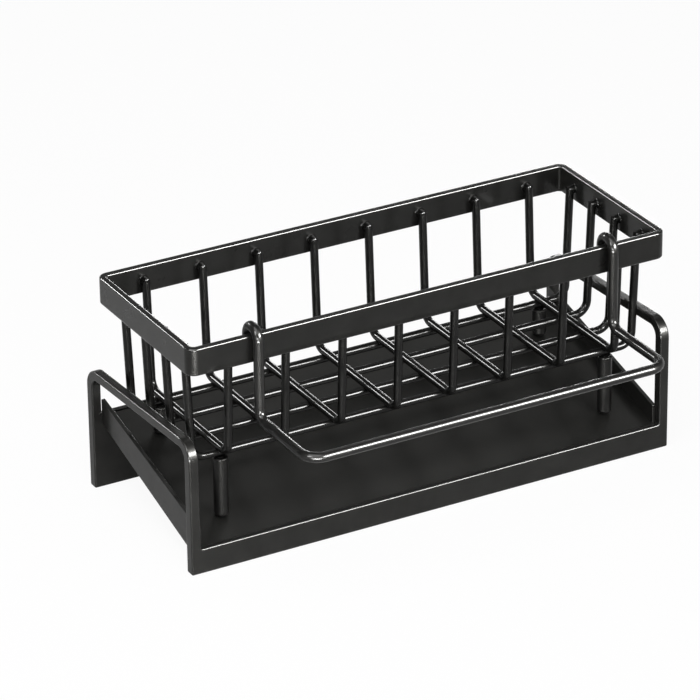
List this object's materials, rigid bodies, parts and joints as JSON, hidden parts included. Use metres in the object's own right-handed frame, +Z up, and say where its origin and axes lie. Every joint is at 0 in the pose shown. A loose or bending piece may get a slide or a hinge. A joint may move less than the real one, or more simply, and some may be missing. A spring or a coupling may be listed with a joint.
{
  "type": "sink caddy",
  "caption": "Open wire basket with a flat-bar rim, standing on sleeved legs in a sloping drip tray between bent-bar side frames, with a towel rail hooked over its front.",
  "frame": {"origin": "on the ground, at the middle of the footprint's box, towel rail included", "axes": "+X along the caddy to the right seen from the front, +Y to the back, +Z up; the towel rail is at the front, -Y"},
  "size_m": [0.23, 0.1403, 0.107],
  "materials": {
    "base_coating": "satin black powder coat",
    "tray_coating": "satin black powder coat",
    "band_coating": "satin black powder coat",
    "wire_coating": "semi-gloss black coat",
    "rail_coating": "semi-gloss black coat",
    "sleeve_plastic": "moulded black plastic"
  },
  "bodies": {
    "base": {"side_frame_left": "base_coating", "side_frame_right": "base_coating", "front_panel": "base_coating", "back_panel": "base_coating", "tray_floor": "tray_coating", "side_wall_left": "base_coating", "side_wall_right": "base_coating"},
    "basket": {"rim_band": "band_coating", "cross_wire_1": "wire_coating", "cross_wire_2": "wire_coating", "cross_wire_3": "wire_coating", "cross_wire_4": "wire_coating", "cross_wire_5": "wire_coating", "cross_wire_6": "wire_coating", "cross_wire_7": "wire_coating", "cross_wire_8": "wire_coating", "long_wire_1": "wire_coating", "long_wire_2": "wire_coating", "long_wire_3": "wire_coating", "long_wire_4": "wire_coating", "leg_stem_front_left": "wire_coating", "leg_stem_front_right": "wire_coating", "leg_stem_back_left": "wire_coating", "leg_stem_back_right": "wire_coating", "leg_sleeve_front_left": "sleeve_plastic", "leg_sleeve_front_right": "sleeve_plastic", "leg_sleeve_back_left": "sleeve_plastic", "leg_sleeve_back_right": "sleeve_plastic"},
    "towel_rail": {"towel_rail": "rail_coating"}
  },
  "joints": [
    {"name": "basket_lift", "type": "slide", "parent": "base", "child": "basket", "axis": [0, 0, 1], "range_m": [0, 0.055]},
    {"name": "towel_rail_lift", "type": "slide", "parent": "basket", "child": "towel_rail", "axis": [0, 0, 1], "range_m": [0, 0.03]}
  ]
}
